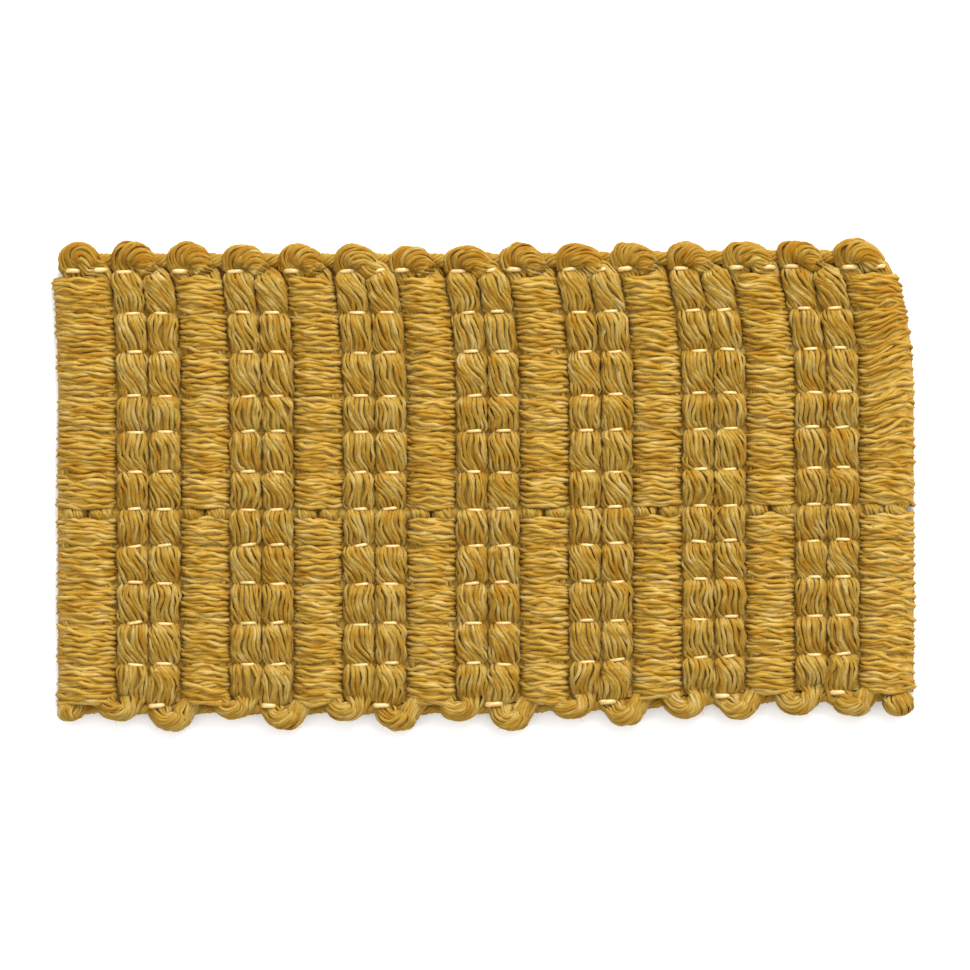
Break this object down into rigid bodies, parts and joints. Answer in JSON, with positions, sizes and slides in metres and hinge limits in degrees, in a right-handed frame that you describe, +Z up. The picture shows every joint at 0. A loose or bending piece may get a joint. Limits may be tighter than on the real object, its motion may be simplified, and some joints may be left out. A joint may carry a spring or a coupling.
{
  "type": "decorative webbing cut length",
  "caption": "Short cut length of ribbed decorative webbing, lying flat, with smooth ribs, columns of woven beads and looped edges.",
  "frame": {"origin": "middle of the piece's box, on the surface that it lies on", "axes": "+X along the tape, from its left cut end to its right one; +Y across the tape, towards the edge that has one loop over each rib; +Z up, out of the face"},
  "size_m": [0.0894, 0.0508, 0.0032],
  "materials": {
    "yarn": "low-twist mustard gold yarn with a soft sheen, and paler, glossier binder threads"
  },
  "bodies": {
    "root": {"webbing": "yarn"}
  },
  "joints": []
}
